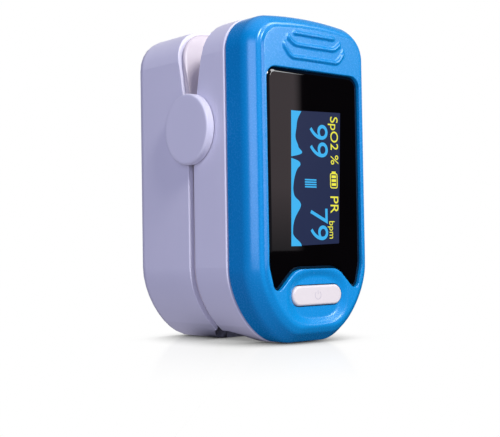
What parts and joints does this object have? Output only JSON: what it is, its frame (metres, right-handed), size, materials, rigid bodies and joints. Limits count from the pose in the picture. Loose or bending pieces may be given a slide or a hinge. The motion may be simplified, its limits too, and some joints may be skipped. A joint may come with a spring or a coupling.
{
  "type": "fingertip pulse oximeter",
  "caption": "Fingertip pulse oximeter: sprung halves on side hinges, a finger channel with soft pads, a display window, a power button and a sliding battery door.",
  "frame": {"origin": "middle of the base, which is the end with the finger opening, on the surface it stands on", "axes": "+Z from the finger opening to the squeeze end, display faces -Y, battery door faces +Y, X is the width"},
  "size_m": [0.0336, 0.0364, 0.06],
  "materials": {
    "blue_cover": "satin moulded blue ABS",
    "lavender_shell": "fine satin moulded lavender grey ABS",
    "white_frame": "satin white ABS",
    "white_button": "satin white plastic",
    "black_window": "polished black acrylic, clear over the panel",
    "panel_glass": "display panel glass",
    "foam_tape": "black foam tape",
    "polyimide_flex": "amber polyimide",
    "board_green": "green solder mask",
    "black_package": "moulded black epoxy",
    "clear_lens": "clear red-tinted acrylic",
    "silicone_pad": "matte grey silicone",
    "screw_steel": "zinc-plated steel",
    "spring_steel": "drawn spring wire",
    "contact_brass": "nickel-plated brass",
    "cell_sleeve": "printed sleeve on a steel can"
  },
  "bodies": {
    "back_half": {"back_shell": "lavender_shell", "back_cradle": "white_frame", "lower_pad": "silicone_pad", "photodetector": "black_package", "detector_window": "clear_lens", "battery_left": "cell_sleeve", "battery_right": "cell_sleeve", "battery_spring_left": "spring_steel", "battery_spring_right": "spring_steel", "bridge_contact": "contact_brass", "positive_contact": "contact_brass", "negative_contact": "contact_brass", "frame_screw_1": "screw_steel", "frame_screw_2": "screw_steel", "frame_screw_3": "screw_steel", "frame_screw_4": "screw_steel", "hinge_pin_left": "screw_steel", "hinge_pin_right": "screw_steel", "hinge_cap_left": "lavender_shell", "hinge_cap_right": "lavender_shell", "torsion_spring_left": "spring_steel", "torsion_spring_right": "spring_steel", "sensor_flex": "polyimide_flex"},
    "front_half": {"front_cover": "blue_cover", "display_window": "black_window", "oled_panel": "panel_glass", "oled_tape": "foam_tape", "oled_ribbon": "polyimide_flex", "main_board": "board_green", "mcu_chip": "black_package", "sensor_chip": "black_package", "regulator_chip": "black_package", "flex_connector": "black_package", "crystal_can": "screw_steel", "buzzer": "contact_brass", "switch_body": "screw_steel", "front_shell": "lavender_shell", "upper_pad": "silicone_pad", "led_emitter": "black_package", "emitter_window": "clear_lens", "cover_screw_1": "screw_steel", "cover_screw_2": "screw_steel", "cover_screw_3": "screw_steel", "cover_screw_4": "screw_steel"},
    "button": {"power_button": "white_button"},
    "plunger": {"switch_plunger": "black_package"},
    "door": {"battery_door": "lavender_shell"}
  },
  "joints": [
    {"name": "jaw_hinge", "type": "hinge", "parent": "back_half", "child": "front_half", "pos_m": [0, -0.00063, 0.03965], "axis": [-1, 0, 0], "range_deg": [0, 21], "stiffness_Nm_per_rad": 0.08, "springref_deg": -22.92, "deforming": ["torsion_spring_left", "torsion_spring_right", "sensor_flex"]},
    {"name": "button_press", "type": "slide", "parent": "front_half", "child": "button", "axis": [0, 1, 0], "range_m": [0, 0.0004], "stiffness_N_per_m": 300, "springref_m": -0.001},
    {"name": "plunger_press", "type": "slide", "parent": "front_half", "child": "plunger", "axis": [0, 1, 0], "range_m": [0, 0.0004]},
    {"name": "door_slide", "type": "slide", "parent": "back_half", "child": "door", "axis": [0, 0, 1], "range_m": [0, 0.045]}
  ],
  "couplings": [
    {"joint": "plunger_press", "follows": "button_press", "ratio": 1}
  ]
}
